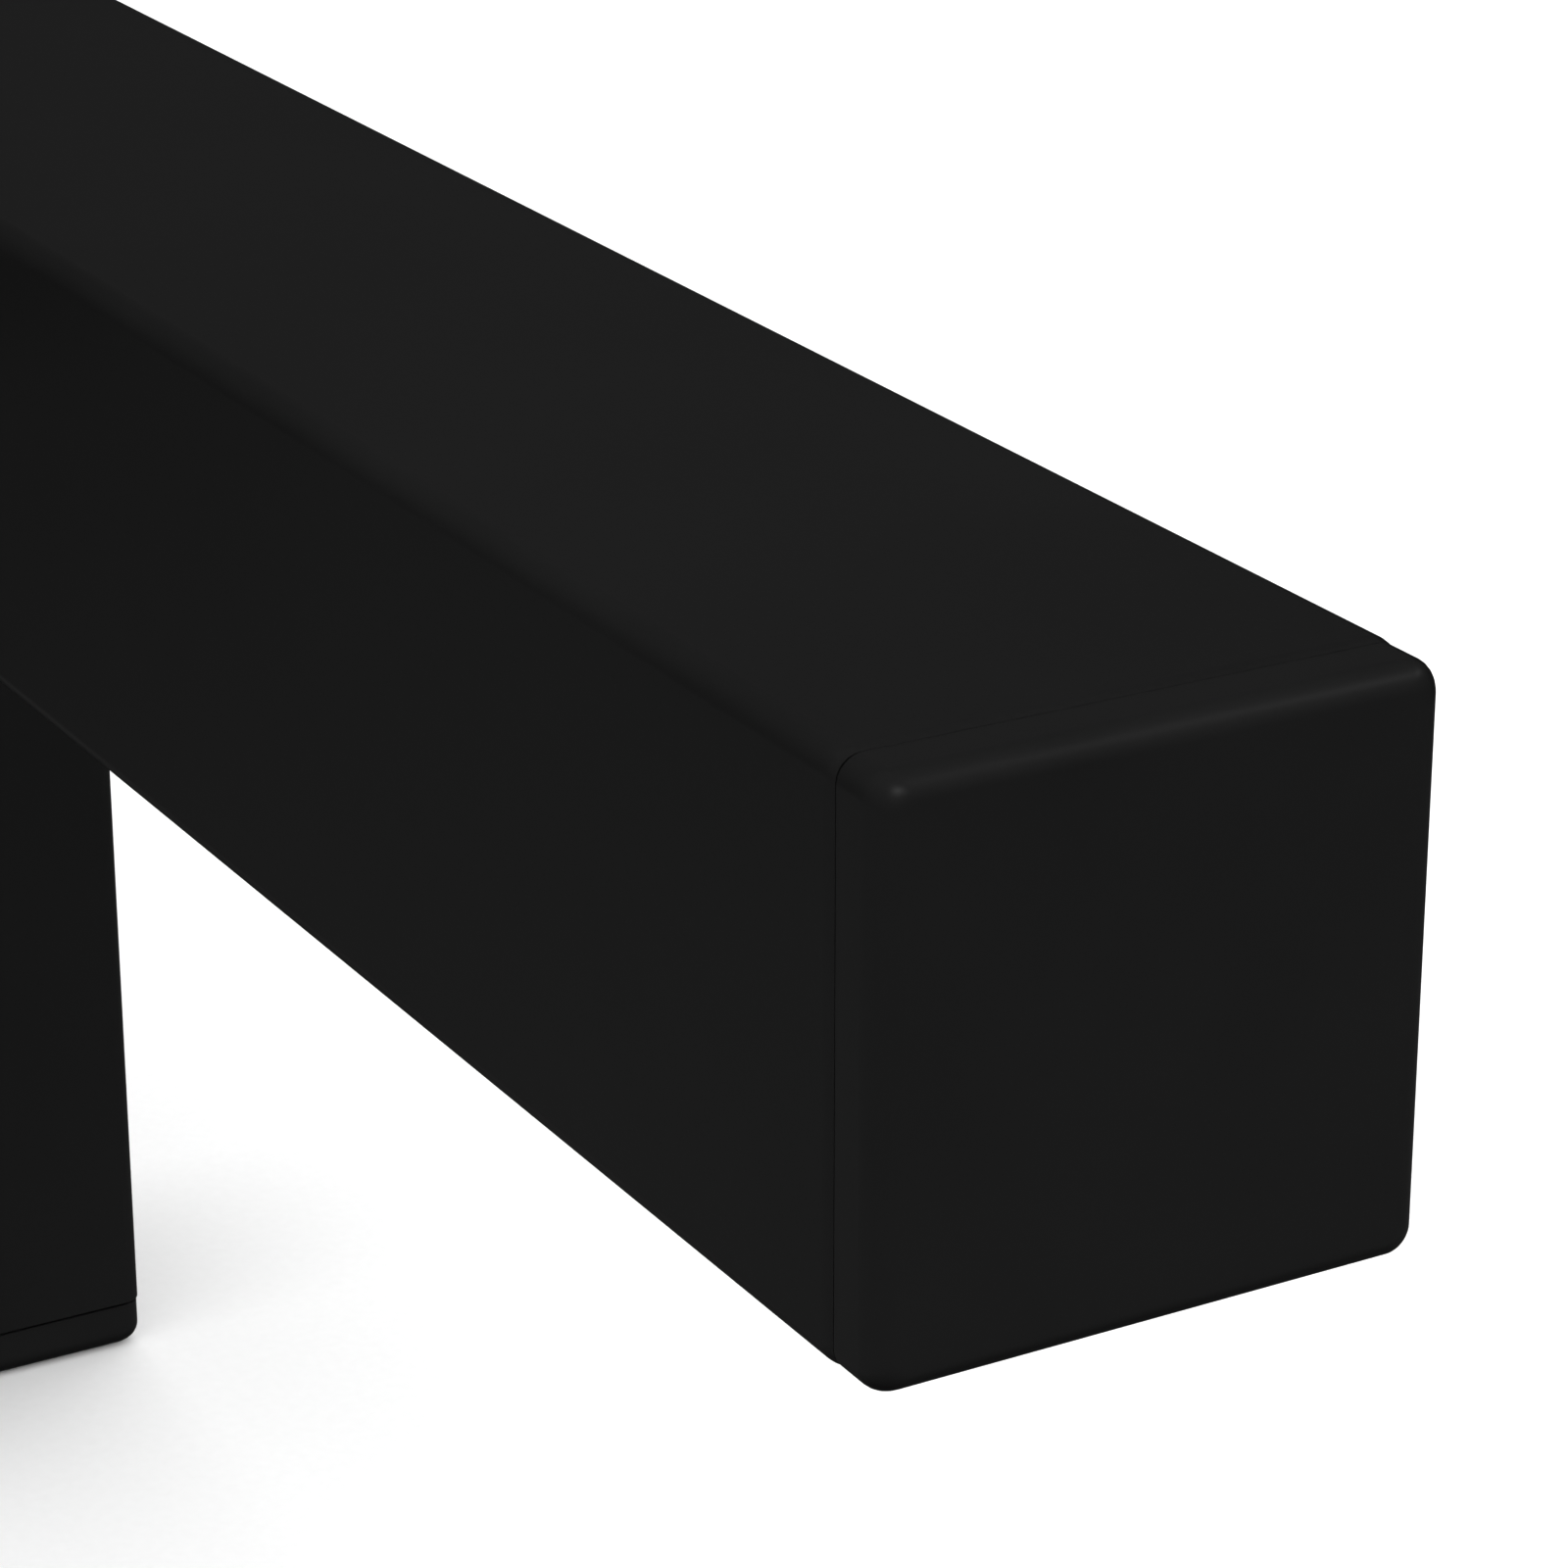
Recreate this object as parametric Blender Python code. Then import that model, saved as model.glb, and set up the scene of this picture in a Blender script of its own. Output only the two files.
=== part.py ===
"""Low support frame of welded square steel tube, with plastic caps in its open tube ends.

Two long rails are joined by two cross rails. A short leg stands under each rail at each cross rail.
Metres, +Z up, X along the rails. The origin is on the floor, under the middle of the frame.
"""

import math

import bpy
from mathutils import Matrix, Vector

# The frame
FRAME_LENGTH = 1.000
FRAME_WIDTH = 0.500
FRAME_HEIGHT = 0.145
OVERHANG = 0.215

# The tube
TUBE_SIDE = 0.040
TUBE_WALL = 0.0015
TUBE_CORNER_RADIUS = 0.0018
BORE_CORNER_RADIUS = TUBE_CORNER_RADIUS - TUBE_WALL
RIM_INSET = 0.0002
RIM_LENGTH = 0.0011

# The plastic caps
CAP_HEAD = 0.0052
CAP_INSET = 0.0001
CAP_CORNER_RADIUS = 0.0018
CAP_EDGE_INSET = 0.0018
CAP_EDGE_DEPTH = 0.0022
CAP_EDGE_NARROWING = 0.25
CAP_BACK_RADIUS = 0.0002
CAP_SLEEVE_WALL = 0.0018
CAP_SLEEVE_DEPTH = 0.020
CAP_SLEEVE_RADIUS = 0.0008
CAP_LEAD_IN = 0.0008
CAP_FIN_HEIGHT = 0.0014
CAP_FIN_WIDTH = 0.0012
CAP_FIN_PITCH = 0.0050
CAP_FIN_COUNT = 3

# The welds
WELD_LEG = 0.0036
WELD_BULGE = 0.0007
WELD_END_CLEARANCE = 0.0012
WELD_RIPPLE = 0.06
WELD_END_SIZE = 0.45
WELD_CURVE_STEPS = 4
WELD_STEPS = 14

# Room left between neighbouring solids
GAP = 0.0003

CORNER_STEPS = 5
RIM_STEPS = 2
CAP_EDGE_STEPS = 5

RAIL_BOTTOM = FRAME_HEIGHT - TUBE_SIDE
RAIL_Y = (FRAME_WIDTH - TUBE_SIDE) / 2
LEG_X = FRAME_LENGTH / 2 - OVERHANG - TUBE_SIDE / 2

ENDS = {"front": -1, "rear": 1}
SIDES = {"left": 1, "right": -1}


def clear_scene():
    for old in list(bpy.data.objects):
        bpy.data.objects.remove(old, do_unlink=True)


def make_material(name, color, roughness, metallic):
    material = bpy.data.materials.new(name)
    material.use_nodes = True
    shader = material.node_tree.nodes["Principled BSDF"]
    shader.inputs["Base Color"].default_value = (*color, 1.0)
    shader.inputs["Roughness"].default_value = roughness
    shader.inputs["Metallic"].default_value = metallic
    return material


def rounded_square(half, radius, z):
    """One ring of points, anticlockwise seen from +Z, with an arc in each corner."""
    ring = []
    for corner in range(4):
        quarter = corner * math.pi / 2
        turn = Matrix.Rotation(quarter, 3, "Z")
        for step in range(CORNER_STEPS + 1):
            angle = step / CORNER_STEPS * math.pi / 2
            offset = half - radius
            point = Vector((offset + radius * math.cos(angle), offset + radius * math.sin(angle), z))
            ring.append(turn @ point)
    return ring


def edge_arc(inset, depth, steps):
    """(inset, rise) pairs round a quarter of an ellipse, from the side wall over onto the end face."""
    pairs = []
    for step in range(steps + 1):
        angle = step / steps * math.pi / 2
        pairs.append((inset * (1 - math.cos(angle)), depth * math.sin(angle)))
    return pairs


def loft(name, rings, closed_loop):
    """A mesh through rings of equal length: closed on itself, or with its first and last ring filled."""
    count = len(rings[0])
    vertices = [point for ring in rings for point in ring]
    faces = []
    spans = len(rings) if closed_loop else len(rings) - 1
    for row in range(spans):
        low = row * count
        high = (row + 1) % len(rings) * count
        for column in range(count):
            after = (column + 1) % count
            faces.append((low + column, low + after, high + after, high + column))
    if not closed_loop:
        last = (len(rings) - 1) * count
        faces.append(tuple(reversed(range(count))))
        faces.append(tuple(range(last, last + count)))
    mesh = bpy.data.meshes.new(name)
    mesh.from_pydata(vertices, [], faces)
    mesh.validate()
    mesh.shade_smooth()
    mesh.set_sharp_from_angle(angle=math.radians(40))
    return mesh


def tube_mesh(name, length, low_rim, high_rim):
    """A square tube along +Z from 0 to length. An end that takes a cap has its rim eased inwards."""
    half = TUBE_SIDE / 2
    bore = half - TUBE_WALL
    rim = edge_arc(RIM_INSET, RIM_LENGTH, RIM_STEPS)
    rings = []
    if low_rim:
        for inset, rise in reversed(rim):
            rings.append(rounded_square(half - inset, TUBE_CORNER_RADIUS, RIM_LENGTH - rise))
    else:
        rings.append(rounded_square(half, TUBE_CORNER_RADIUS, 0))
    if high_rim:
        for inset, rise in rim:
            rings.append(rounded_square(half - inset, TUBE_CORNER_RADIUS, length - RIM_LENGTH + rise))
    else:
        rings.append(rounded_square(half, TUBE_CORNER_RADIUS, length))
    rings.append(rounded_square(bore, BORE_CORNER_RADIUS, length))
    rings.append(rounded_square(bore, BORE_CORNER_RADIUS, 0))
    return loft(name, rings, True)


def cap_mesh(name):
    """A push-in cap along +Z: the tube ends at z 0, the head is above it and the ribbed sleeve below."""
    half = TUBE_SIDE / 2 - CAP_INSET
    fin = TUBE_SIDE / 2 - TUBE_WALL - GAP
    sleeve = fin - CAP_FIN_HEIGHT
    hollow = sleeve - CAP_SLEEVE_WALL
    sleeve_radius = CAP_SLEEVE_RADIUS
    floor = GAP + CAP_SLEEVE_WALL
    profile = [(hollow, sleeve_radius, floor), (hollow, sleeve_radius, -CAP_SLEEVE_DEPTH)]
    profile.append((sleeve - CAP_LEAD_IN, sleeve_radius, -CAP_SLEEVE_DEPTH))
    profile.append((sleeve, sleeve_radius, CAP_LEAD_IN - CAP_SLEEVE_DEPTH))
    for index in range(CAP_FIN_COUNT):
        fin_low = -CAP_FIN_PITCH * (CAP_FIN_COUNT - index)
        profile.append((sleeve, sleeve_radius, fin_low))
        profile.append((fin, sleeve_radius, fin_low + CAP_FIN_WIDTH / 2))
        profile.append((fin, sleeve_radius, fin_low + CAP_FIN_WIDTH))
        profile.append((sleeve, sleeve_radius, fin_low + CAP_FIN_WIDTH))
    profile.append((sleeve, sleeve_radius, GAP))
    profile.append((half - CAP_BACK_RADIUS, CAP_CORNER_RADIUS, GAP))
    profile.append((half, CAP_CORNER_RADIUS, GAP + CAP_BACK_RADIUS))
    for inset, rise in edge_arc(CAP_EDGE_INSET, CAP_EDGE_DEPTH, CAP_EDGE_STEPS):
        corner = CAP_CORNER_RADIUS - inset * CAP_EDGE_NARROWING
        profile.append((half - inset, corner, CAP_HEAD - CAP_EDGE_DEPTH + rise))
    rings = [rounded_square(*section) for section in profile]
    return loft(name, rings, False)


def weld_mesh(name, length):
    """A convex fillet along +Z in the corner of two walls that face +X and +Y, rippled along its length."""
    section = []
    for step in range(WELD_CURVE_STEPS + 1):
        share = step / WELD_CURVE_STEPS
        out = WELD_BULGE * math.sin(share * math.pi) / math.sqrt(2)
        across = (WELD_LEG - GAP) * share
        section.append(Vector((WELD_LEG - across + out, GAP + across + out, 0)))
    section.append(Vector((GAP, GAP, 0)))
    centre = Vector((GAP, GAP, 0))
    rings = []
    for step in range(WELD_STEPS + 1):
        share = step / WELD_STEPS
        size = 1 + WELD_RIPPLE * (-1) ** step
        if step in (0, WELD_STEPS):
            size = WELD_END_SIZE
        rise = Vector((0, 0, share * length))
        rings.append([centre + (point - centre) * size + rise for point in section])
    return loft(name, rings, False)


def place(name, mesh, material, location, z_along, x_along):
    """A named object whose local +Z and +X run along two world directions."""
    z_axis = Vector(z_along)
    x_axis = Vector(x_along)
    y_axis = z_axis.cross(x_axis)
    turn = Matrix((x_axis, y_axis, z_axis)).transposed()
    item = bpy.data.objects.new(name, mesh)
    item.rotation_mode = "QUATERNION"
    item.rotation_quaternion = turn.to_quaternion()
    item.location = location
    mesh.materials.clear()
    mesh.materials.append(material)
    bpy.context.scene.collection.objects.link(item)
    item.parent = bpy.data.objects["frame"]
    return item


def build_rails(steel, plastic):
    length = FRAME_LENGTH - 2 * CAP_HEAD
    rail_tube = tube_mesh("rail_tube", length, True, True)
    rail_cap = cap_mesh("rail_cap")
    axis_z = FRAME_HEIGHT - TUBE_SIDE / 2
    for side, side_sign in SIDES.items():
        y = side_sign * RAIL_Y
        place(f"rail_{side}", rail_tube, steel, (-length / 2, y, axis_z), (1, 0, 0), (0, 0, 1))
        for end, end_sign in ENDS.items():
            mouth = (end_sign * length / 2, y, axis_z)
            place(f"rail_cap_{end}_{side}", rail_cap, plastic, mouth, (end_sign, 0, 0), (0, 0, 1))


def build_cross_rails(steel):
    length = FRAME_WIDTH - 2 * TUBE_SIDE - 2 * GAP
    cross_tube = tube_mesh("cross_tube", length, False, False)
    for end, end_sign in ENDS.items():
        start = (end_sign * LEG_X, -length / 2, FRAME_HEIGHT - TUBE_SIDE / 2)
        place(f"cross_rail_{end}", cross_tube, steel, start, (0, 1, 0), (1, 0, 0))


def build_legs(steel, plastic):
    length = RAIL_BOTTOM - GAP - CAP_HEAD
    leg_tube = tube_mesh("leg_tube", length, True, False)
    foot_cap = cap_mesh("foot_cap")
    for end, end_sign in ENDS.items():
        for side, side_sign in SIDES.items():
            foot = (end_sign * LEG_X, side_sign * RAIL_Y, CAP_HEAD)
            place(f"leg_{end}_{side}", leg_tube, steel, foot, (0, 0, 1), (1, 0, 0))
            place(f"foot_cap_{end}_{side}", foot_cap, plastic, foot, (0, 0, -1), (1, 0, 0))


def build_welds(weld_metal):
    """Five fillets at each corner of the frame, in the inside corners where the tubes meet."""
    half = TUBE_SIDE / 2
    bead = weld_mesh("weld_bead", TUBE_SIDE - 2 * WELD_END_CLEARANCE)
    down = (0, 0, -1)
    for end, end_sign in ENDS.items():
        x = end_sign * LEG_X
        for side, side_sign in SIDES.items():
            y = side_sign * RAIL_Y
            inner_wall = y - side_sign * half
            inward = (0, -side_sign, 0)
            corner = f"{end}_{side}"
            for face, face_sign in (("outer", end_sign), ("inner", -end_sign)):
                wall = x + face_sign * half
                along_x = (face_sign, 0, 0)
                under_rail = (wall, y, RAIL_BOTTOM)
                beside_rail = (wall, inner_wall, FRAME_HEIGHT - half)
                lay_bead(f"weld_leg_{face}_{corner}", bead, weld_metal, under_rail, along_x, down)
                lay_bead(f"weld_cross_{face}_{corner}", bead, weld_metal, beside_rail, along_x, inward)
            under_cross_rail = (x, inner_wall, RAIL_BOTTOM)
            lay_bead(f"weld_underside_{corner}", bead, weld_metal, under_cross_rail, inward, down)


def lay_bead(name, bead, material, middle, wall_a, wall_b):
    """Lays a bead along the corner of two walls that face wall_a and wall_b, centred on middle."""
    run = Vector(wall_a).cross(Vector(wall_b))
    start = Vector(middle) - run * (TUBE_SIDE / 2 - WELD_END_CLEARANCE)
    place(name, bead, material, start, run, wall_a)


def main():
    clear_scene()
    frame = bpy.data.objects.new("frame", None)
    bpy.context.scene.collection.objects.link(frame)
    steel = make_material("powder_coated_steel", (0.011, 0.011, 0.011), 0.5, 0.0)
    plastic = make_material("moulded_cap_plastic", (0.012, 0.012, 0.012), 0.55, 0.0)
    weld_metal = make_material("powder_coated_weld", (0.011, 0.011, 0.011), 0.5, 0.0)
    build_rails(steel, plastic)
    build_cross_rails(steel)
    build_legs(steel, plastic)
    build_welds(weld_metal)


main()
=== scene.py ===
import math

import bmesh
import bpy
from mathutils import Matrix, Vector


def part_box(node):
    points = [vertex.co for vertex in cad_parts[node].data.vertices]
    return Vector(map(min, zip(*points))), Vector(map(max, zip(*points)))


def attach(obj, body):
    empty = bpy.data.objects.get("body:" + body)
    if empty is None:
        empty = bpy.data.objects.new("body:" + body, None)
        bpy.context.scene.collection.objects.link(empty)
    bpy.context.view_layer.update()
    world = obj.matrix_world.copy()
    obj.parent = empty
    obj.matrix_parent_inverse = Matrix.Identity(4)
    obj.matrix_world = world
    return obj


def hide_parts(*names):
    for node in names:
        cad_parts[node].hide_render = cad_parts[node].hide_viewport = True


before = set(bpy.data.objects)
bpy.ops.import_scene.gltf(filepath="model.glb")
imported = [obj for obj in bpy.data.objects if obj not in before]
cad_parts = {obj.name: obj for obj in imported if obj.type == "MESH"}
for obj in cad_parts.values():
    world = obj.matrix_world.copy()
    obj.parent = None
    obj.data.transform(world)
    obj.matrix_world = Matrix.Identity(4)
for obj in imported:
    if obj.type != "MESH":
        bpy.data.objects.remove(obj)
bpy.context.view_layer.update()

scene = bpy.context.scene
ends = {"front": -1, "rear": 1}
sides = {"left": 1, "right": -1}


def hexColor(code):
    # sRGB hex to the linear colour that a shader takes
    channels = [int(code[start:start + 2], 16) / 255 for start in (1, 3, 5)]
    linear = [c / 12.92 if c <= 0.04045 else ((c + 0.055) / 1.055) ** 2.4 for c in channels]
    return (*linear, 1.0)


def addNode(tree, kind, inputs=None, **settings):
    # inputs holds values, sockets, or nodes whose first output is meant
    node = tree.nodes.new(kind)
    for key, value in settings.items():
        setattr(node, key, value)
    for key, value in (inputs or {}).items():
        if isinstance(value, bpy.types.Node):
            value = value.outputs[0]
        if isinstance(value, bpy.types.NodeSocket):
            tree.links.new(value, node.inputs[key])
        else:
            node.inputs[key].default_value = value
    return node


def roundedLoop(half, radius, steps, z):
    # one ring of a lofted square: anticlockwise from above, an arc in each corner
    ring = []
    for corner in range(4):
        turn = Matrix.Rotation(corner * math.pi / 2, 3, "Z")
        for step in range(steps + 1):
            angle = step / steps * math.pi / 2
            reach = Vector((half - radius + radius * math.cos(angle),
                            half - radius + radius * math.sin(angle), z))
            ring.append(turn @ reach)
    return ring


def facing(along, across):
    # the turn that lays local +Z on one world direction and local +X on another
    zAxis = Vector(along)
    xAxis = Vector(across)
    return Matrix((xAxis, zAxis.cross(xAxis), zAxis)).transposed().to_4x4()


# how every piece is shaded: a fold past this many degrees stays sharp, and the weight is how
# strongly flat faces hold the shading of the rounds beside them level
shading = {
    "sharpAngle": 38,
    "flatWeight": 80,
}


def finishPiece(name, mesh, material, nodeName=None):
    # a finished mesh becomes a piece of the frame, and stands for its CAD node where it has one
    mesh.materials.clear()
    mesh.materials.append(material)
    mesh.shade_smooth()
    mesh.set_sharp_from_angle(angle=math.radians(shading["sharpAngle"]))
    piece = bpy.data.objects.new(name, mesh)
    scene.collection.objects.link(piece)
    soften = piece.modifiers.new("flat faces stay flat", "WEIGHTED_NORMAL")
    soften.keep_sharp = True
    soften.weight = shading["flatWeight"]
    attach(piece, "root")
    if nodeName:
        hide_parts(nodeName)
    return piece


# Polyester powder coat on mild steel, sprayed and baked: it gives a near-black satin skin with
# faint orange peel, and a fine grit that breaks up every reflection.
powderCoat = {
    "color": "#171717",
    "thinColor": "#1c1c1c",
    "ior": 1.50,
    "metallic": 0.0,
    "roughness": 0.43,
    "roughnessSpread": 0.05,
    "peelSize": 0.0022,
    "peelDepth": 0.000006,
    "gritSize": 0.00045,
    "gritDepth": 0.0000035,
    "cloudSize": 0.055,
}

# Low-density polyethylene, injection moulded in a spark-eroded tool: it gives a soft black with
# a very fine even grain, and a sheen close to that of the coat beside it.
capPlastic = {
    "color": "#181818",
    "thinColor": "#1b1b1b",
    "ior": 1.51,
    "metallic": 0.0,
    "roughness": 0.39,
    "roughnessSpread": 0.03,
    "peelSize": 0.006,
    "peelDepth": 0.000006,
    "gritSize": 0.00028,
    "gritDepth": 0.0000028,
    "cloudSize": 0.018,
}

# The same powder coat where it lies over a weld: it pools, so it gives a smoother, glossier film.
coatedWeld = {
    "color": "#161616",
    "thinColor": "#1c1c1c",
    "ior": 1.50,
    "metallic": 0.0,
    "roughness": 0.38,
    "roughnessSpread": 0.06,
    "peelSize": 0.0009,
    "peelDepth": 0.000012,
    "gritSize": 0.00045,
    "gritDepth": 0.000003,
    "cloudSize": 0.004,
}

# How the three patterns are made and mixed in every finish: slow clouds, orange peel, and grit.
patterns = {
    "cloudDetail": 3.0,
    "cloudRoughness": 0.55,
    "peelDetail": 1.0,
    "peelRoughness": 0.4,
    "gritDetail": 2.0,
    "gritRoughness": 0.6,
    "cloudShare": 0.7,
    "gritShare": 0.3,
    "colorFrom": 0.35,
    "colorTo": 0.65,
    "glossFrom": 0.3,
    "glossTo": 0.7,
}


def makeFinish(name, spec):
    material = bpy.data.materials.new(name)
    material.use_nodes = True
    tree = material.node_tree
    shader = tree.nodes["Principled BSDF"]
    shader.inputs["IOR"].default_value = spec["ior"]
    shader.inputs["Metallic"].default_value = spec["metallic"]
    place = addNode(tree, "ShaderNodeTexCoord").outputs["Object"]
    noise = {kind: addNode(tree, "ShaderNodeTexNoise",
                           {"Vector": place, "Scale": 1 / spec[kind + "Size"],
                            "Detail": patterns[kind + "Detail"],
                            "Roughness": patterns[kind + "Roughness"]})
             for kind in ("cloud", "peel", "grit")}
    tone = addNode(tree, "ShaderNodeMath", {0: noise["cloud"], 1: patterns["cloudShare"]},
                   operation="MULTIPLY")
    speck = addNode(tree, "ShaderNodeMath", {0: noise["grit"], 1: patterns["gritShare"], 2: tone},
                    operation="MULTIPLY_ADD")
    spread = addNode(tree, "ShaderNodeMapRange", {"Value": speck, "From Min": patterns["colorFrom"],
                                                  "From Max": patterns["colorTo"]})
    color = addNode(tree, "ShaderNodeMix", {"Factor": spread}, data_type="RGBA")
    color.inputs["A"].default_value = hexColor(spec["color"])
    color.inputs["B"].default_value = hexColor(spec["thinColor"])
    gloss = addNode(tree, "ShaderNodeMapRange",
                    {"Value": noise["cloud"], "From Min": patterns["glossFrom"],
                     "From Max": patterns["glossTo"],
                     "To Min": spec["roughness"] - spec["roughnessSpread"],
                     "To Max": spec["roughness"] + spec["roughnessSpread"]})
    coarse = addNode(tree, "ShaderNodeBump", {"Height": noise["peel"], "Distance": spec["peelDepth"]})
    fine = addNode(tree, "ShaderNodeBump", {"Height": noise["grit"], "Distance": spec["gritDepth"],
                                            "Normal": coarse})
    tree.links.new(color.outputs["Result"], shader.inputs["Base Color"])
    tree.links.new(gloss.outputs["Result"], shader.inputs["Roughness"])
    tree.links.new(fine.outputs["Normal"], shader.inputs["Normal"])
    return material


steelBlack = makeFinish("powderCoatedSteel", powderCoat)
plasticBlack = makeFinish("mouldedPolyethylene", capPlastic)
weldBlack = makeFinish("powderCoatedWeld", coatedWeld)
print("finishes made")


def newTree(name, numbers):
    # a geometry tree with one named size for each entry of numbers, and a finish
    tree = bpy.data.node_groups.new(name, "GeometryNodeTree")
    tree.interface.new_socket("Geometry", in_out="INPUT", socket_type="NodeSocketGeometry")
    for label in numbers:
        tree.interface.new_socket(label, in_out="INPUT", socket_type="NodeSocketFloat")
    tree.interface.new_socket("Finish", in_out="INPUT", socket_type="NodeSocketMaterial")
    tree.interface.new_socket("Geometry", in_out="OUTPUT", socket_type="NodeSocketGeometry")
    tree.is_modifier = True
    return tree, addNode(tree, "NodeGroupInput").outputs


def closeTree(tree, geometry, finish):
    real = addNode(tree, "GeometryNodeRealizeInstances", {"Geometry": geometry})
    coated = addNode(tree, "GeometryNodeSetMaterial", {"Geometry": real, "Material": finish})
    addNode(tree, "NodeGroupOutput", {"Geometry": coated})


def treeMesh(tree, values):
    # runs a geometry tree once and hands back the plain mesh that it makes
    holder = bpy.data.objects.new("holder", bpy.data.meshes.new("holder"))
    scene.collection.objects.link(holder)
    modifier = holder.modifiers.new(tree.name, "NODES")
    modifier.node_group = tree
    for item in tree.interface.items_tree:
        if item.in_out == "INPUT" and item.name in values:
            modifier[item.identifier] = values[item.name]
    graph = bpy.context.evaluated_depsgraph_get()
    mesh = bpy.data.meshes.new_from_object(holder.evaluated_get(graph))
    bpy.data.objects.remove(holder)
    return mesh


# A tube's wall is a long thin section swept once round the tube's square, so both rims and all
# four corners come from one rule. A capped end is eased in where the saw's burr was taken off.
tubeShape = {
    "wall": 0.0015,
    "cornerRadius": 0.0018,
    "rimInset": 0.0002,
    "rimLength": 0.0011,
    "cornerSteps": 8,
    "rimSteps": 5,
    "jointGap": 0.0003,
    "boreShare": 0.98,
}


def makeTubeTree():
    tree, size = newTree("squareTube", ["Length", "Side", "Wall", "Corner Radius", "Rim Inset",
                                        "Rim Length", "Low Eased", "High Eased"])
    middle = addNode(tree, "ShaderNodeMath", {0: size["Side"], 1: size["Wall"]}, operation="SUBTRACT")
    halfWall = addNode(tree, "ShaderNodeMath", {0: size["Wall"], 1: 0.5}, operation="MULTIPLY")
    turnRadius = addNode(tree, "ShaderNodeMath", {0: size["Corner Radius"], 1: halfWall},
                         operation="SUBTRACT")
    loop = addNode(tree, "GeometryNodeCurvePrimitiveQuadrilateral", {"Width": middle, "Height": middle})
    loopRound = addNode(tree, "GeometryNodeFilletCurve",
                        {"Curve": loop, "Count": tubeShape["cornerSteps"], "Radius": turnRadius},
                        mode="POLY")
    upright = addNode(tree, "GeometryNodeSetCurveNormal", {"Curve": loopRound}, mode="Z_UP")
    section = addNode(tree, "GeometryNodeCurvePrimitiveQuadrilateral",
                      {"Width": size["Wall"], "Height": size["Length"]})
    where = addNode(tree, "GeometryNodeInputPosition")
    spot = addNode(tree, "ShaderNodeSeparateXYZ", {"Vector": where})
    # the wall thins towards an eased end from its outer face, in a curve that starts level
    outer = addNode(tree, "ShaderNodeMath", {0: spot.outputs["X"], 1: 0.0}, operation="GREATER_THAN")
    high = addNode(tree, "ShaderNodeMath", {0: spot.outputs["Y"], 1: 0.0}, operation="GREATER_THAN")
    eased = addNode(tree, "ShaderNodeMix", {"Factor": high}, data_type="FLOAT")
    tree.links.new(size["Low Eased"], eased.inputs["A"])
    tree.links.new(size["High Eased"], eased.inputs["B"])
    easedOuter = addNode(tree, "ShaderNodeMath", {0: eased, 1: outer}, operation="MULTIPLY")
    rimRadius = addNode(tree, "ShaderNodeMath", {0: easedOuter, 1: size["Rim Length"]},
                        operation="MULTIPLY")
    sectionRound = addNode(tree, "GeometryNodeFilletCurve",
                           {"Curve": section, "Count": tubeShape["rimSteps"], "Radius": rimRadius},
                           mode="POLY")
    fromMiddle = addNode(tree, "ShaderNodeMath", {0: spot.outputs["Y"]}, operation="ABSOLUTE")
    halfLength = addNode(tree, "ShaderNodeMath", {0: size["Length"], 1: 0.5}, operation="MULTIPLY")
    fromEnd = addNode(tree, "ShaderNodeMath", {0: halfLength, 1: fromMiddle}, operation="SUBTRACT")
    nearEnd = addNode(tree, "ShaderNodeMapRange", {"Value": fromEnd, "From Max": size["Rim Length"],
                                                   "To Min": 1.0, "To Max": 0.0})
    curved = addNode(tree, "ShaderNodeMath", {0: nearEnd, 1: nearEnd}, operation="MULTIPLY")
    easedCurve = addNode(tree, "ShaderNodeMath", {0: curved, 1: eased}, operation="MULTIPLY")
    inset = addNode(tree, "ShaderNodeMath", {0: easedCurve, 1: size["Rim Inset"]},
                    operation="MULTIPLY")
    wallX = addNode(tree, "ShaderNodeMath", {0: halfWall, 1: inset}, operation="SUBTRACT")
    wallPoint = addNode(tree, "ShaderNodeCombineXYZ", {"X": wallX, "Y": spot.outputs["Y"]})
    boreX = addNode(tree, "ShaderNodeMath", {0: halfWall, 1: -tubeShape["boreShare"]},
                    operation="MULTIPLY")
    offBore = addNode(tree, "ShaderNodeMath", {0: spot.outputs["X"], 1: boreX},
                      operation="GREATER_THAN")
    profile = addNode(tree, "GeometryNodeSetPosition",
                      {"Geometry": sectionRound, "Selection": offBore, "Position": wallPoint})
    swept = addNode(tree, "GeometryNodeCurveToMesh", {"Curve": upright, "Profile Curve": profile})
    closeTree(tree, swept, size["Finish"])
    return tree


tubeTree = makeTubeTree()


def placeTube(name, along, across, lowEased, highEased):
    # fills a CAD tube's own box, and at an end that isn't eased it goes on across the joint's gap
    low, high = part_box(name)
    lengthwise = Vector(along)
    span = high - low
    lowReach = 0.0 if lowEased else tubeShape["jointGap"]
    highReach = 0.0 if highEased else tubeShape["jointGap"]
    mesh = treeMesh(tubeTree, {"Length": span.dot(lengthwise) + lowReach + highReach,
                               "Side": abs(span.dot(Vector(across))),
                               "Wall": tubeShape["wall"], "Corner Radius": tubeShape["cornerRadius"],
                               "Rim Inset": tubeShape["rimInset"], "Rim Length": tubeShape["rimLength"],
                               "Low Eased": float(lowEased), "High Eased": float(highEased),
                               "Finish": steelBlack})
    middle = (low + high) / 2 + lengthwise * (highReach - lowReach) / 2
    mesh.transform(Matrix.Translation(middle) @ facing(along, across))
    return finishPiece(name + "_tube", mesh, steelBlack, name)


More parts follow.
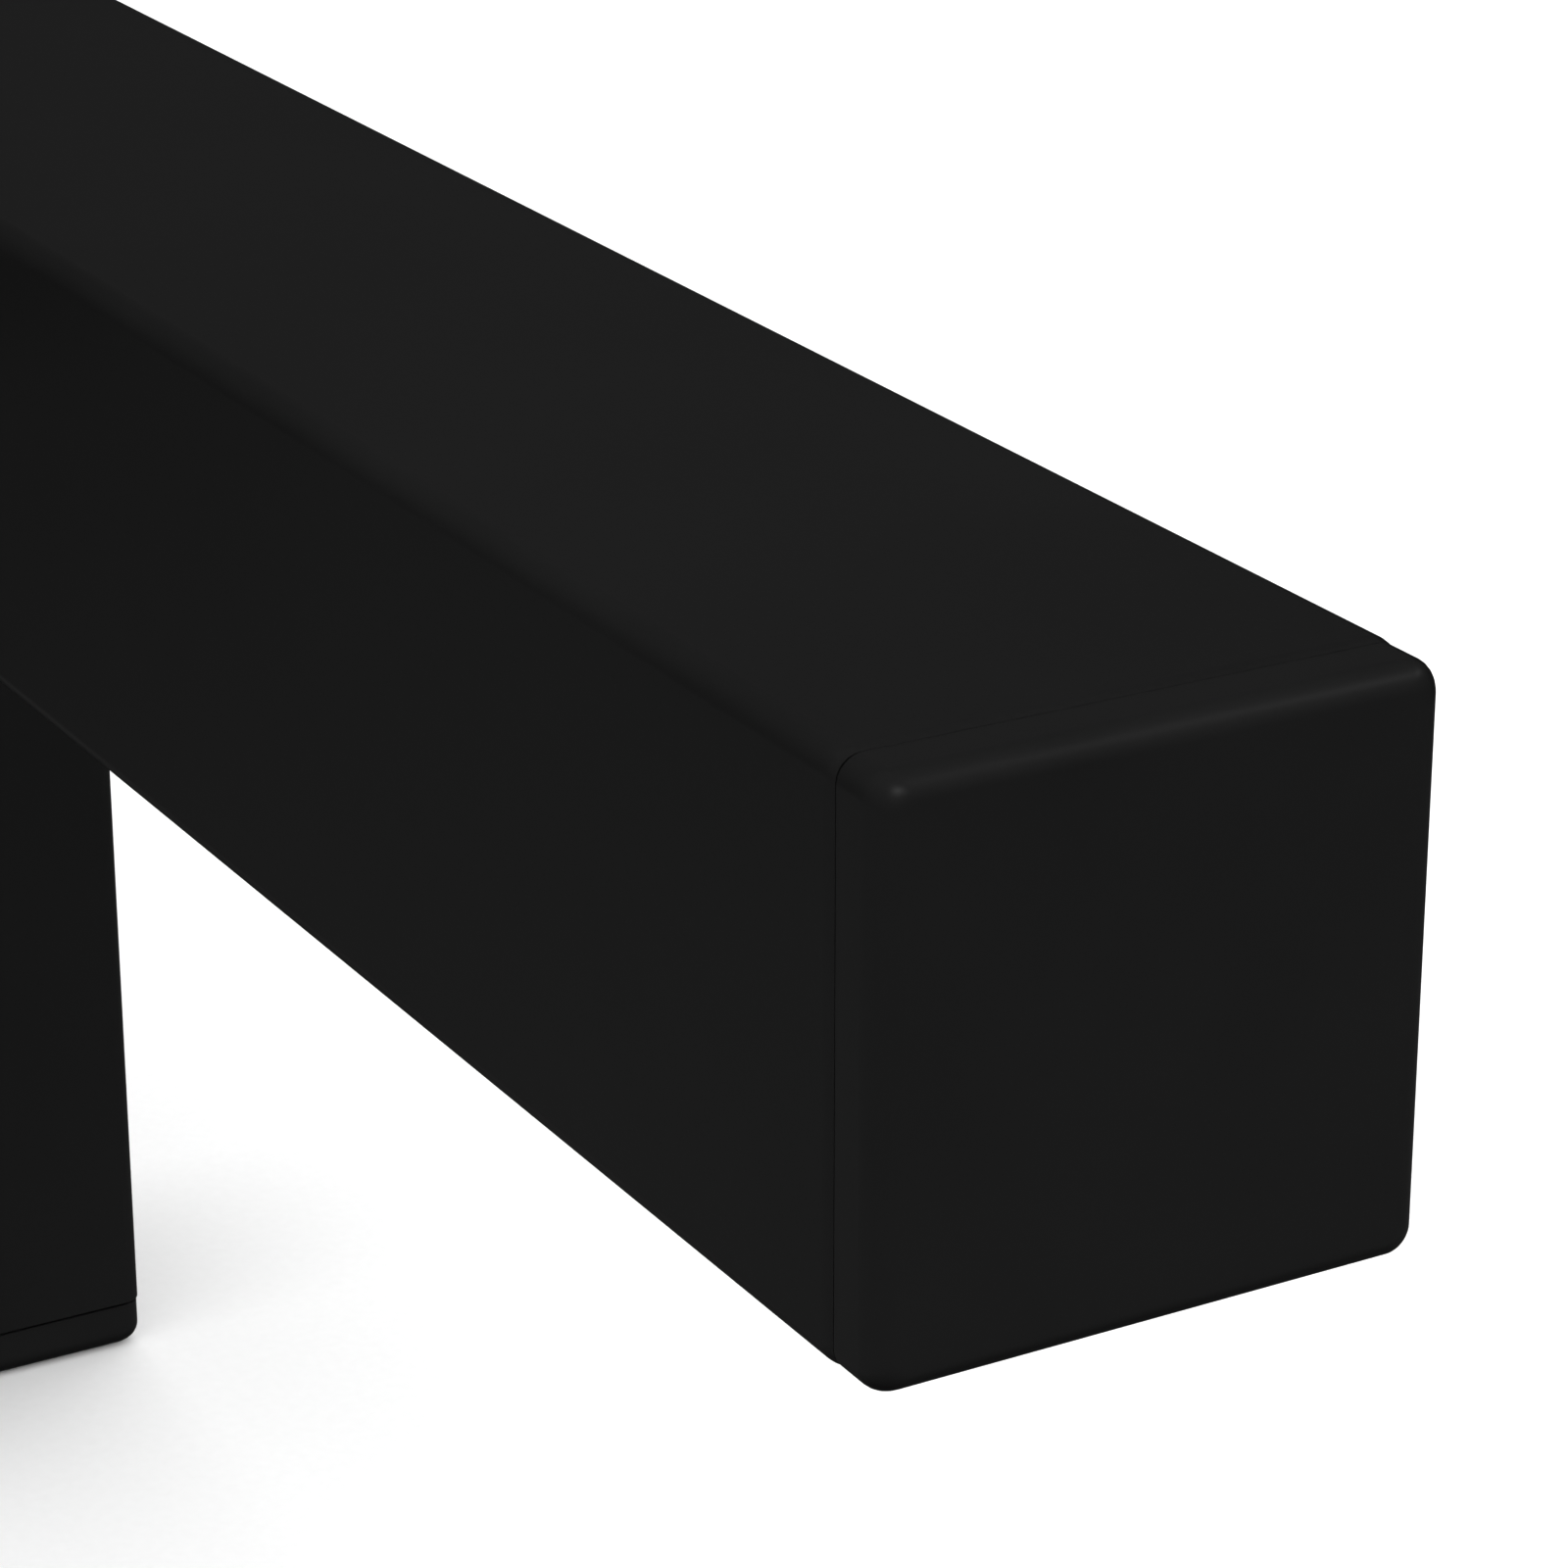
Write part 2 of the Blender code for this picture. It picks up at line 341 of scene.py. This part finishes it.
def makeTubes():
    for side in sides:
        placeTube(f"rail_{side}", (1, 0, 0), (0, 0, 1), True, True)
    for end in ends:
        placeTube(f"cross_rail_{end}", (0, 1, 0), (1, 0, 0), False, False)
        for side in sides:
            placeTube(f"leg_{end}_{side}", (0, 0, 1), (1, 0, 0), True, False)


makeTubes()
print("tubes made")


# A cap is a moulded head, a hollow sleeve that goes into the tube, and fins round the sleeve
# that grip it. The head sits flush with the tube, so only a hairline shows between them.
capShape = {
    "railSeam": 0.0001,
    "footSeam": 0.0003,
    "backRadius": 0.0002,
    "cornerRadius": 0.0018,
    "edgeInset": 0.0018,
    "edgeDepth": 0.0022,
    "edgeNarrowing": 0.25,
    "crownDrop": 0.00008,
    "crownWidth": 0.0032,
    "crownShares": (0.3, 0.65, 1.0),
    "sleeveHalf": 0.0168,
    "sleeveWall": 0.0018,
    "sleeveDepth": 0.020,
    "sleeveRadius": 0.0008,
    "leadIn": 0.0008,
    "finHeight": 0.0014,
    "finWidth": 0.0012,
    "finPitch": 0.0050,
    "finCount": 3,
    "finRoot": 0.4,
    "finCornerSteps": 6,
    "cornerSteps": 10,
    "edgeSteps": 9,
    "backSteps": 3,
}


def makeFinTree():
    # one thin ring swept round the sleeve, repeated down it
    tree, size = newTree("gripFins", ["Half", "Corner Radius", "Height", "Width", "Pitch", "Count"])
    across = addNode(tree, "ShaderNodeMath", {0: size["Half"], 1: 2.0}, operation="MULTIPLY")
    loop = addNode(tree, "GeometryNodeCurvePrimitiveQuadrilateral", {"Width": across, "Height": across})
    loopRound = addNode(tree, "GeometryNodeFilletCurve",
                        {"Curve": loop, "Count": capShape["finCornerSteps"],
                         "Radius": size["Corner Radius"]}, mode="POLY")
    upright = addNode(tree, "GeometryNodeSetCurveNormal", {"Curve": loopRound}, mode="Z_UP")
    root = addNode(tree, "ShaderNodeMath", {0: size["Height"], 1: -capShape["finRoot"]},
                   operation="MULTIPLY")
    halfWidth = addNode(tree, "ShaderNodeMath", {0: size["Width"], 1: 0.5}, operation="MULTIPLY")
    corners = {"Point 1": (root, 0.0), "Point 2": (size["Height"], 0.0),
               "Point 3": (size["Height"], halfWidth), "Point 4": (root, size["Width"])}
    section = addNode(tree, "GeometryNodeCurvePrimitiveQuadrilateral", mode="POINTS")
    for label, (x, y) in corners.items():
        spot = addNode(tree, "ShaderNodeCombineXYZ", {"X": x, "Y": y})
        tree.links.new(spot.outputs[0], section.inputs[label])
    ring = addNode(tree, "GeometryNodeCurveToMesh", {"Curve": upright, "Profile Curve": section})
    step = addNode(tree, "ShaderNodeCombineXYZ", {"Z": size["Pitch"]})
    down = addNode(tree, "GeometryNodeMeshLine", {"Count": size["Count"], "Offset": step},
                   mode="OFFSET", count_mode="TOTAL")
    rings = addNode(tree, "GeometryNodeInstanceOnPoints", {"Points": down, "Instance": ring})
    closeTree(tree, rings, size["Finish"])
    return tree


def capProfile(half, head, seam):
    # (half width, corner radius, height) of each ring, from inside the sleeve out and over the head
    shape = capShape
    sleeve = shape["sleeveHalf"]
    hollow = sleeve - shape["sleeveWall"]
    radius = shape["sleeveRadius"]
    corner = shape["cornerRadius"]
    floor = seam + shape["sleeveWall"]
    rings = [(hollow, radius, floor), (hollow, radius, -shape["sleeveDepth"]),
             (sleeve - shape["leadIn"], radius, -shape["sleeveDepth"]),
             (sleeve, radius, shape["leadIn"] - shape["sleeveDepth"]),
             (sleeve, radius, seam)]
    for step in range(shape["backSteps"] + 1):
        angle = step / shape["backSteps"] * math.pi / 2
        rings.append((half - shape["backRadius"] * (1 - math.sin(angle)), corner,
                      seam + shape["backRadius"] * (1 - math.cos(angle))))
    for step in range(shape["edgeSteps"] + 1):
        angle = step / shape["edgeSteps"] * math.pi / 2
        inset = shape["edgeInset"] * (1 - math.cos(angle))
        rise = shape["edgeDepth"] * (1 - math.sin(angle))
        rings.append((half - inset, corner - inset * shape["edgeNarrowing"],
                      head - shape["crownDrop"] - rise))
    for share in shape["crownShares"]:
        # the last of the drop eases out onto the flat face
        rings.append((half - shape["edgeInset"] - share * shape["crownWidth"],
                      corner - shape["edgeInset"] * shape["edgeNarrowing"],
                      head - shape["crownDrop"] * (1 - share) ** 2))
    return rings


def capMesh(half, head, seam):
    rings = [roundedLoop(width, radius, capShape["cornerSteps"], z)
             for width, radius, z in capProfile(half, head, seam)]
    count = len(rings[0])
    build = bmesh.new()
    rows = [[build.verts.new(point) for point in ring] for ring in rings]
    for lower, upper in zip(rows, rows[1:]):
        for column in range(count):
            after = (column + 1) % count
            build.faces.new((lower[column], lower[after], upper[after], upper[column]))
    build.faces.new(list(reversed(rows[0])))
    build.faces.new(rows[-1])
    mesh = bpy.data.meshes.new("cap")
    build.to_mesh(mesh)
    build.free()
    return mesh


def joined(first, second):
    build = bmesh.new()
    build.from_mesh(first)
    build.from_mesh(second)
    mesh = bpy.data.meshes.new(first.name)
    build.to_mesh(mesh)
    build.free()
    return mesh


def placeCap(name, out, across, seam, finTree):
    # the head's outer face lies on the CAD cap's own outer face
    low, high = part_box(name)
    outward = Vector(out)
    span = high - low
    depth = abs(span.dot(outward))
    half = abs(span.dot(Vector(across))) / 2
    head = depth - capShape["sleeveDepth"]
    fins = treeMesh(finTree, {"Half": capShape["sleeveHalf"], "Corner Radius": capShape["sleeveRadius"],
                              "Height": capShape["finHeight"], "Width": capShape["finWidth"],
                              "Pitch": capShape["finPitch"], "Count": capShape["finCount"],
                              "Finish": plasticBlack})
    fins.transform(Matrix.Translation((0, 0, -capShape["finPitch"] * capShape["finCount"])))
    mesh = joined(capMesh(half, head, seam), fins)
    mouth = (low + high) / 2 + outward * (depth / 2 - head)
    mesh.transform(Matrix.Translation(mouth) @ facing(out, across))
    return finishPiece(name + "_moulding", mesh, plasticBlack, name)


def makeCaps():
    finTree = makeFinTree()
    for end, endSign in ends.items():
        for side in sides:
            placeCap(f"rail_cap_{end}_{side}", (endSign, 0, 0), (0, 0, 1), capShape["railSeam"], finTree)
            placeCap(f"foot_cap_{end}_{side}", (0, 0, -1), (1, 0, 0), capShape["footSeam"], finTree)


makeCaps()
print("caps made")


# A bead is one section swept along the corner, swelling and shrinking with each ripple of the
# pool. Each ripple's middle is pulled along the bead, so it reads as a crescent.
weldShape = {
    "leg": 0.0036,
    "crown": 0.0023,
    "bury": 0.0004,
    "cadGap": 0.0003,
    "ripplePitch": 0.0019,
    "rippleDepth": 0.045,
    "crescent": 0.0011,
    "wander": 0.05,
    "wanderSize": 0.006,
    "pointSpacing": 0.00024,
    "endEase": 0.0018,
    "endSize": 0.2,
    "crownSteps": 7,
    "firstSeed": 0,
}

# Where two tubes lie flush, the weld fills the groove beside the rail's round corner and is
# ground back level with both tubes, so it shows as a shallow, slightly uneven strip.
dressedShape = {
    "reach": 0.0019,
    "overlap": 0.0007,
    "depth": 0.0009,
    "edgeDrop": 0.00002,
    "crownSpot": 0.0008,
    "crown": 0.00013,
    "ripplePitch": 0.0031,
    "rippleDepth": 0.02,
    "crescent": 0.0,
    "wander": 0.12,
    "firstSeed": 100,
}


def makeWeldTree():
    tree, size = newTree("weldBead", ["Length", "Toe X", "Toe Y", "Crown X", "Crown Y", "Root X", "Root Y",
                                      "Ripple Pitch", "Ripple Depth", "Crescent", "Wander", "Seed"])
    finish = addNode(tree, "ShaderNodeCombineXYZ", {"Z": size["Length"]})
    line = addNode(tree, "GeometryNodeCurvePrimitiveLine", {"End": finish})
    path = addNode(tree, "GeometryNodeResampleCurve",
                   {"Curve": line, "Length": weldShape["pointSpacing"]}, mode="LENGTH")
    where = addNode(tree, "GeometryNodeInputPosition")
    spot = addNode(tree, "ShaderNodeSeparateXYZ", {"Vector": where})
    along = spot.outputs["Z"]
    # the swell along the bead: ripples, a slow wander, and a rounded start and stop
    turns = addNode(tree, "ShaderNodeMath", {0: along, 1: size["Ripple Pitch"]}, operation="DIVIDE")
    phase = addNode(tree, "ShaderNodeMath", {0: turns, 1: math.pi}, operation="MULTIPLY")
    wave = addNode(tree, "ShaderNodeMath", {0: phase}, operation="SINE")
    crest = addNode(tree, "ShaderNodeMath", {0: wave}, operation="ABSOLUTE")
    drift = addNode(tree, "ShaderNodeTexNoise", {"W": size["Seed"], "Scale": 1 / weldShape["wanderSize"],
                                                 "Detail": 1.0}, noise_dimensions="4D")
    sway = addNode(tree, "ShaderNodeMath", {0: drift, 1: 0.5}, operation="SUBTRACT")
    even = addNode(tree, "ShaderNodeMath", {0: sway, 1: size["Wander"], 2: 1.0},
                   operation="MULTIPLY_ADD")
    rippled = addNode(tree, "ShaderNodeMath", {0: crest, 1: size["Ripple Depth"], 2: even},
                      operation="MULTIPLY_ADD")
    toEnd = addNode(tree, "ShaderNodeMath", {0: size["Length"], 1: along}, operation="SUBTRACT")
    nearEnd = addNode(tree, "ShaderNodeMath", {0: along, 1: toEnd}, operation="MINIMUM")
    toRound = addNode(tree, "ShaderNodeMapRange",
                      {"Value": nearEnd, "From Max": weldShape["endEase"], "To Min": 1.0, "To Max": 0.0})
    squared = addNode(tree, "ShaderNodeMath", {0: toRound, 1: toRound}, operation="MULTIPLY")
    left = addNode(tree, "ShaderNodeMath", {0: 1.0, 1: squared}, operation="SUBTRACT")
    rounded = addNode(tree, "ShaderNodeMath", {0: left}, operation="SQRT")
    ease = addNode(tree, "ShaderNodeMath", {0: rounded, 1: weldShape["endSize"]}, operation="MAXIMUM")
    swell = addNode(tree, "ShaderNodeMath", {0: rippled, 1: ease}, operation="MULTIPLY")
    # the section: root, two toes on the tubes, and a rounded crown between them
    corners = {"Point 1": (size["Root X"], size["Root Y"]), "Point 2": (size["Toe X"], size["Root Y"]),
               "Point 3": (size["Crown X"], size["Crown Y"]), "Point 4": (size["Root X"], size["Toe Y"])}
    section = addNode(tree, "GeometryNodeCurvePrimitiveQuadrilateral", mode="POINTS")
    for label, (x, y) in corners.items():
        corner = addNode(tree, "ShaderNodeCombineXYZ", {"X": x, "Y": y})
        tree.links.new(corner.outputs[0], section.inputs[label])
    index = addNode(tree, "GeometryNodeInputIndex")
    isCrown = addNode(tree, "FunctionNodeCompare", {2: index, 3: 2}, data_type="INT", operation="EQUAL")
    crownRadius = addNode(tree, "ShaderNodeMath", {0: isCrown, 1: size["Toe X"]}, operation="MULTIPLY")
    sectionRound = addNode(tree, "GeometryNodeFilletCurve",
                           {"Curve": section, "Count": weldShape["crownSteps"], "Limit Radius": True,
                            "Radius": crownRadius}, mode="POLY")
    swept = addNode(tree, "GeometryNodeCurveToMesh",
                    {"Curve": path, "Profile Curve": sectionRound, "Scale": swell, "Fill Caps": True})
    # the crown is pulled along, the toes stay where they are
    rise = addNode(tree, "ShaderNodeMath", {0: spot.outputs["X"], 1: spot.outputs["Y"]},
                   operation="MULTIPLY")
    fullRise = addNode(tree, "ShaderNodeMath", {0: size["Crown X"], 1: size["Crown Y"]},
                       operation="MULTIPLY")
    lift = addNode(tree, "ShaderNodeMath", {0: rise, 1: fullRise}, operation="DIVIDE")
    easedLift = addNode(tree, "ShaderNodeMath", {0: lift, 1: ease}, operation="MULTIPLY")
    pull = addNode(tree, "ShaderNodeMath", {0: easedLift, 1: size["Crescent"]}, operation="MULTIPLY")
    offset = addNode(tree, "ShaderNodeCombineXYZ", {"Z": pull})
    bent = addNode(tree, "GeometryNodeSetPosition", {"Geometry": swept, "Offset": offset})
    closeTree(tree, bent, size["Finish"])
    return tree


weldTree = makeWeldTree()


def beadMesh(length, section, spec, seed):
    mesh = treeMesh(weldTree, {**section, "Length": length, "Ripple Pitch": spec["ripplePitch"],
                               "Ripple Depth": spec["rippleDepth"], "Crescent": spec["crescent"],
                               "Wander": spec["wander"], "Seed": float(seed), "Finish": weldBlack})
    mesh.transform(Matrix.Translation((0, 0, -length / 2)))
    return mesh


def placeBead(name, wallA, wallB, seed):
    # wallA and wallB are the ways that the two tube faces look; the bead lies in their corner
    low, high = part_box(name)
    a = Vector(wallA)
    b = Vector(wallB)
    run = a.cross(b)
    corner = (low + high) / 2
    for wall in (a, b):
        reach = abs((high - low).dot(wall)) / 2
        corner -= wall * (reach + weldShape["cadGap"])
    section = {"Toe X": weldShape["leg"], "Toe Y": weldShape["leg"],
               "Crown X": weldShape["crown"], "Crown Y": weldShape["crown"],
               "Root X": -weldShape["bury"], "Root Y": -weldShape["bury"]}
    mesh = beadMesh(abs((high - low).dot(run)), section, weldShape, seed)
    mesh.transform(Matrix.Translation(corner) @ facing(run, a))
    return finishPiece(name + "_bead", mesh, weldBlack, name)


def placeDressed(name, middle, railward, outward, seed):
    # railward points over the rail's round corner, outward is the way that both flush faces look
    spec = dressedShape
    a = Vector(railward)
    run = a.cross(Vector(outward))
    low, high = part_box("leg_front_right")
    length = high.x - low.x - 2 * tubeShape["cornerRadius"]
    section = {"Toe X": spec["reach"], "Toe Y": -spec["edgeDrop"],
               "Crown X": spec["crownSpot"], "Crown Y": spec["crown"],
               "Root X": -spec["overlap"], "Root Y": -spec["depth"]}
    mesh = beadMesh(length, section, spec, seed)
    mesh.transform(Matrix.Translation(middle) @ facing(run, a))
    return finishPiece(name, mesh, weldBlack)


def makeWelds():
    seed = weldShape["firstSeed"]
    for end, endSign in ends.items():
        for side, sideSign in sides.items():
            corner = f"{end}_{side}"
            inward = (0, -sideSign, 0)
            down = (0, 0, -1)
            for face, way in (("outer", endSign), ("inner", -endSign)):
                placeBead(f"weld_leg_{face}_{corner}", (way, 0, 0), down, seed)
                placeBead(f"weld_cross_{face}_{corner}", (way, 0, 0), inward, seed + 1)
                seed += 2
            placeBead(f"weld_underside_{corner}", inward, down, seed)
            seed += 1


def makeDressedJoints():
    seed = dressedShape["firstSeed"]
    for end in ends:
        for side, sideSign in sides.items():
            legLow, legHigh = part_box(f"leg_{end}_{side}")
            railLow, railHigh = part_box(f"rail_{side}")
            outerY = legHigh.y if sideSign > 0 else legLow.y
            innerY = railLow.y if sideSign > 0 else railHigh.y
            middleX = (legLow.x + legHigh.x) / 2
            placeDressed(f"dressed_leg_{end}_{side}", (middleX, outerY, railLow.z),
                         (0, 0, 1), (0, sideSign, 0), seed)
            placeDressed(f"dressed_top_{end}_{side}", (middleX, innerY, railHigh.z),
                         (0, sideSign, 0), (0, 0, 1), seed + 1)
            seed += 2


makeWelds()
makeDressedJoints()
print("welds made")


# A white sweep under an even white dome. What reflections see is set apart from what matt
# surfaces see, as dark drapes round the stand would, so the black finishes stay black.
studio = {
    "floorColor": "#f9f9f9",
    "floorToothColor": "#f4f4f4",
    "floorTooth": 0.0012,
    "floorRoughness": 0.9,
    "floorRadius": 7.0,
    "floorSides": 96,
    "skyLight": 1.5,
    "groundLight": 0.2,
    "horizonBlend": 0.06,
    "gloss": [(-1.0, 0.004), (-0.7, 0.045), (-0.45, 0.096), (-0.25, 0.0), (0.3, 0.008), (1.0, 0.02)],
}

# Lights that only reflections see: one draws the cap's upper edge, one dots its corner, and a large
# dim card lifts the top faces. Each stands off the near cap's upper edge along its direction.
softboxes = {
    "edgeSoftbox": {"direction": (-0.18, -0.70, 0.69), "distance": 1.6, "size": 0.42, "radiance": 1.0},
    "cornerSoftbox": {"direction": (-0.71, 0.12, 0.70), "distance": 1.6, "size": 0.30, "radiance": 5.0},
    "lowCard": {"direction": (0.88, -0.42, 0.21), "distance": 2.5, "size": 1.35, "radiance": 0.041},
}


def makeFloor():
    # matt paper with a fine tooth, there from above only, so that the underside can be looked at
    material = bpy.data.materials.new("palePaperSweep")
    material.use_nodes = True
    tree = material.node_tree
    shader = tree.nodes["Principled BSDF"]
    shader.inputs["Roughness"].default_value = studio["floorRoughness"]
    shader.inputs["Specular IOR Level"].default_value = 0.0
    place = addNode(tree, "ShaderNodeTexCoord").outputs["Object"]
    tooth = addNode(tree, "ShaderNodeTexNoise", {"Vector": place, "Scale": 1 / studio["floorTooth"]})
    color = addNode(tree, "ShaderNodeMix", {"Factor": tooth}, data_type="RGBA")
    color.inputs["A"].default_value = hexColor(studio["floorColor"])
    color.inputs["B"].default_value = hexColor(studio["floorToothColor"])
    tree.links.new(color.outputs["Result"], shader.inputs["Base Color"])
    below = addNode(tree, "ShaderNodeNewGeometry").outputs["Backfacing"]
    clear = addNode(tree, "ShaderNodeBsdfTransparent")
    either = addNode(tree, "ShaderNodeMixShader", {"Fac": below, 1: shader, 2: clear})
    tree.links.new(either.outputs["Shader"], tree.nodes["Material Output"].inputs["Surface"])
    build = bmesh.new()
    bmesh.ops.create_circle(build, cap_ends=True, segments=studio["floorSides"],
                            radius=studio["floorRadius"])
    mesh = bpy.data.meshes.new("studioFloor")
    build.to_mesh(mesh)
    build.free()
    mesh.materials.append(material)
    floor = bpy.data.objects.new("studioFloor", mesh)
    scene.collection.objects.link(floor)
    floor.visible_glossy = False
    floor.visible_diffuse = False


def makeDome():
    world = bpy.data.worlds.new("studioDome")
    scene.world = world
    world.use_nodes = True
    world.cycles.sampling_method = "NONE"
    tree = world.node_tree
    sky = tree.nodes["Background"]
    direction = addNode(tree, "ShaderNodeTexCoord").outputs["Generated"]
    height = addNode(tree, "ShaderNodeSeparateXYZ", {"Vector": direction}).outputs["Z"]
    light = addNode(tree, "ShaderNodeMapRange",
                    {"Value": height, "From Min": -studio["horizonBlend"],
                     "From Max": studio["horizonBlend"], "To Min": studio["groundLight"],
                     "To Max": studio["skyLight"]})
    share = addNode(tree, "ShaderNodeMapRange", {"Value": height, "From Min": -1.0})
    gloss = addNode(tree, "ShaderNodeValToRGB", {"Fac": share})
    stops = gloss.color_ramp.elements
    stops.remove(stops[0])
    for number, (level, value) in enumerate(studio["gloss"]):
        stop = stops.new((level + 1) / 2) if number else stops[0]
        stop.position = (level + 1) / 2
        stop.color = (value, value, value, 1.0)
    ray = addNode(tree, "ShaderNodeLightPath").outputs
    shone = addNode(tree, "ShaderNodeMix", {"Factor": ray["Is Glossy Ray"]}, data_type="FLOAT")
    tree.links.new(light.outputs["Result"], shone.inputs["A"])
    tree.links.new(gloss.outputs["Color"], shone.inputs["B"])
    strength = addNode(tree, "ShaderNodeMix", {"Factor": ray["Is Camera Ray"]}, data_type="FLOAT")
    tree.links.new(shone.outputs["Result"], strength.inputs["A"])
    strength.inputs["B"].default_value = studio["skyLight"]
    tree.links.new(strength.outputs["Result"], sky.inputs["Strength"])
    sky.inputs["Color"].default_value = (1.0, 1.0, 1.0, 1.0)


def makeSoftboxes():
    low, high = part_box("rail_cap_front_right")
    lit = Vector((low.x, (low.y + high.y) / 2, high.z))
    for name, spec in softboxes.items():
        way = Vector(spec["direction"]).normalized()
        light = bpy.data.lights.new(name, "AREA")
        light.shape = "SQUARE"
        light.size = spec["size"]
        light.energy = spec["radiance"] * math.pi * spec["size"] ** 2
        lamp = bpy.data.objects.new(name, light)
        lamp.location = lit + way * spec["distance"]
        lamp.rotation_mode = "QUATERNION"
        lamp.rotation_quaternion = way.to_track_quat("Z", "Y")
        lamp.visible_diffuse = False
        scene.collection.objects.link(lamp)


# The camera stands in front of the right rail's front cap, a little inboard and above it.
cameraSpot = {
    "node": "rail_cap_front_right",
    "lens": 117.0,
    "heading": -29.77,
    "pitch": -21.70,
    "ahead": 0.2284,
    "inboard": 0.1369,
    "above": 0.1060,
    "nearClip": 0.01,
}


def makeCamera():
    spec = cameraSpot
    low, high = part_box(spec["node"])
    data = bpy.data.cameras.new("camera")
    data.lens = spec["lens"]
    data.clip_start = spec["nearClip"]
    camera = bpy.data.objects.new("camera", data)
    camera.location = (low.x - spec["ahead"], high.y + spec["inboard"], high.z + spec["above"])
    heading = math.radians(spec["heading"])
    pitch = math.radians(spec["pitch"])
    look = Vector((math.cos(heading) * math.cos(pitch), math.sin(heading) * math.cos(pitch),
                   math.sin(pitch)))
    camera.rotation_mode = "QUATERNION"
    camera.rotation_quaternion = look.to_track_quat("-Z", "Y")
    scene.collection.objects.link(camera)
    scene.camera = camera


makeFloor()
makeDome()
makeSoftboxes()
makeCamera()
scene.view_settings.view_transform = "Standard"
print("studio made")
